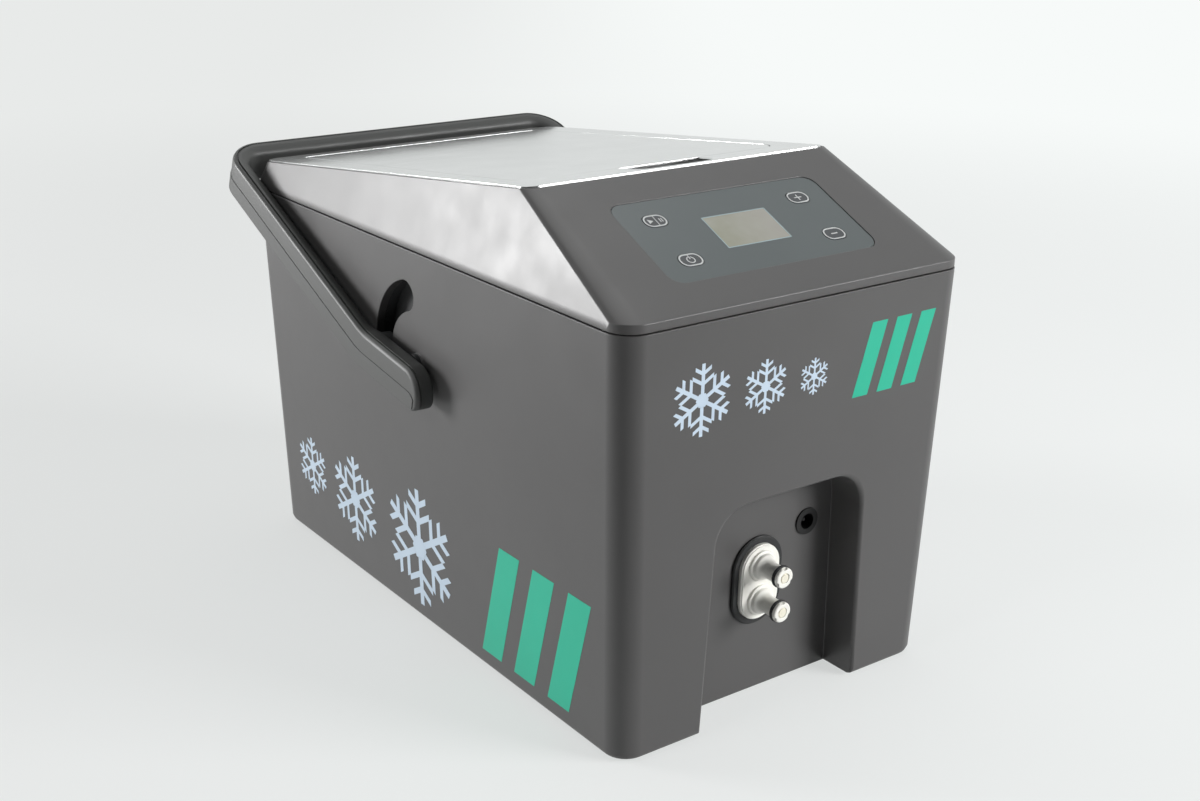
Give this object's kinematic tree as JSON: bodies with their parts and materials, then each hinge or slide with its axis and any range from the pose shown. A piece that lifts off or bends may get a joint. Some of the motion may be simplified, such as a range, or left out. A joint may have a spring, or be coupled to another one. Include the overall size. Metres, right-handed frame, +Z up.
{
  "type": "cold therapy machine",
  "caption": "Portable ice-water therapy machine: insulated tank under a hinged lid, circulating pump, front nozzles, sloping key panel and a handle that swings over the rear",
  "frame": {"origin": "on the floor, at the middle of the footprint including the handle at rest", "axes": "+X to the right seen from the front, +Y to the rear, +Z up; the nozzles face -Y"},
  "size_m": [0.257, 0.4268, 0.2853],
  "materials": {
    "body_grey": "fine moulded texture",
    "dark_plastic": "satin moulded",
    "silver_plastic": "satin silver-grey",
    "white_plastic": "smooth",
    "poppet_plastic": "smooth",
    "rubber": "matt",
    "steel": "plain",
    "foam": "rigid foam",
    "overlay": "satin film",
    "key": "satin film",
    "lens": "clear satin",
    "display": "liquid crystal",
    "circuit_board": "solder mask",
    "hose": "milky silicone"
  },
  "bodies": {
    "machine": {"main_shell": "body_grey", "rubber_feet": "rubber", "closing_screws": "steel", "upper_shell": "body_grey", "lid_frame": "silver_plastic", "hinge_pins": "steel", "reservoir_tank": "white_plastic", "foam_jacket": "foam", "intake_strainer": "dark_plastic", "control_overlay": "overlay", "display_lens": "lens", "display_module": "display", "key_switches": "rubber", "control_board": "circuit_board", "board_screws": "steel", "coupling_body": "white_plastic", "coupling_gasket": "rubber", "coupling_screws": "steel", "nozzle_o_rings": "rubber", "dc_jack": "rubber", "jack_nut": "steel", "pump_motor": "dark_plastic", "pump_volute": "rubber", "pump_cover": "rubber", "pump_cradle": "dark_plastic", "cradle_screws": "steel", "suction_hose": "hose", "delivery_hose": "hose", "return_hose": "hose", "hose_clips": "steel", "pivot_bushes": "rubber", "track_covers": "dark_plastic"},
    "lid_body": {"lid": "silver_plastic", "lid_liner": "white_plastic", "lid_gasket": "rubber"},
    "handle_body": {"handle": "body_grey", "pivot_pins": "steel", "pivot_clips": "steel", "guide_pins": "dark_plastic"},
    "impeller_body": {"pump_impeller": "white_plastic", "pump_shaft": "steel"},
    "play_body": {"key_play": "key"},
    "power_body": {"key_power": "key"},
    "plus_body": {"key_plus": "key"},
    "minus_body": {"key_minus": "key"},
    "poppet_upper_body": {"valve_poppet_upper": "poppet_plastic"},
    "poppet_lower_body": {"valve_poppet_lower": "poppet_plastic"}
  },
  "joints": [
    {"name": "lid_hinge", "type": "hinge", "parent": "machine", "child": "lid_body", "pos_m": [0, 0.15236, 0.24942], "axis": [-1, 0, 0], "range_deg": [0, 95]},
    {"name": "handle_swing", "type": "hinge", "parent": "machine", "child": "handle_body", "pos_m": [0, -0.01934, 0.168], "axis": [1, 0, 0], "range_deg": [0, 74]},
    {"name": "impeller_spin", "type": "hinge", "parent": "machine", "child": "impeller_body", "pos_m": [0, -0.12734, 0.063], "axis": [1, 0, 0], "continuous": true},
    {"name": "play_press", "type": "slide", "parent": "machine", "child": "play_body", "axis": [0, 0.427, -0.9043], "range_m": [0, 0.0005], "stiffness_N_per_m": 400, "springref_m": -0.001},
    {"name": "power_press", "type": "slide", "parent": "machine", "child": "power_body", "axis": [0, 0.427, -0.9043], "range_m": [0, 0.0005], "stiffness_N_per_m": 400, "springref_m": -0.001},
    {"name": "plus_press", "type": "slide", "parent": "machine", "child": "plus_body", "axis": [0, 0.427, -0.9043], "range_m": [0, 0.0005], "stiffness_N_per_m": 400, "springref_m": -0.001},
    {"name": "minus_press", "type": "slide", "parent": "machine", "child": "minus_body", "axis": [0, 0.427, -0.9043], "range_m": [0, 0.0005], "stiffness_N_per_m": 400, "springref_m": -0.001},
    {"name": "poppet_upper_push", "type": "slide", "parent": "machine", "child": "poppet_upper_body", "axis": [0, 0.9997, 0.0257], "range_m": [0, 0.0028], "stiffness_N_per_m": 300, "springref_m": -0.002},
    {"name": "poppet_lower_push", "type": "slide", "parent": "machine", "child": "poppet_lower_body", "axis": [0, 0.9997, 0.0257], "range_m": [0, 0.0028], "stiffness_N_per_m": 300, "springref_m": -0.002}
  ]
}
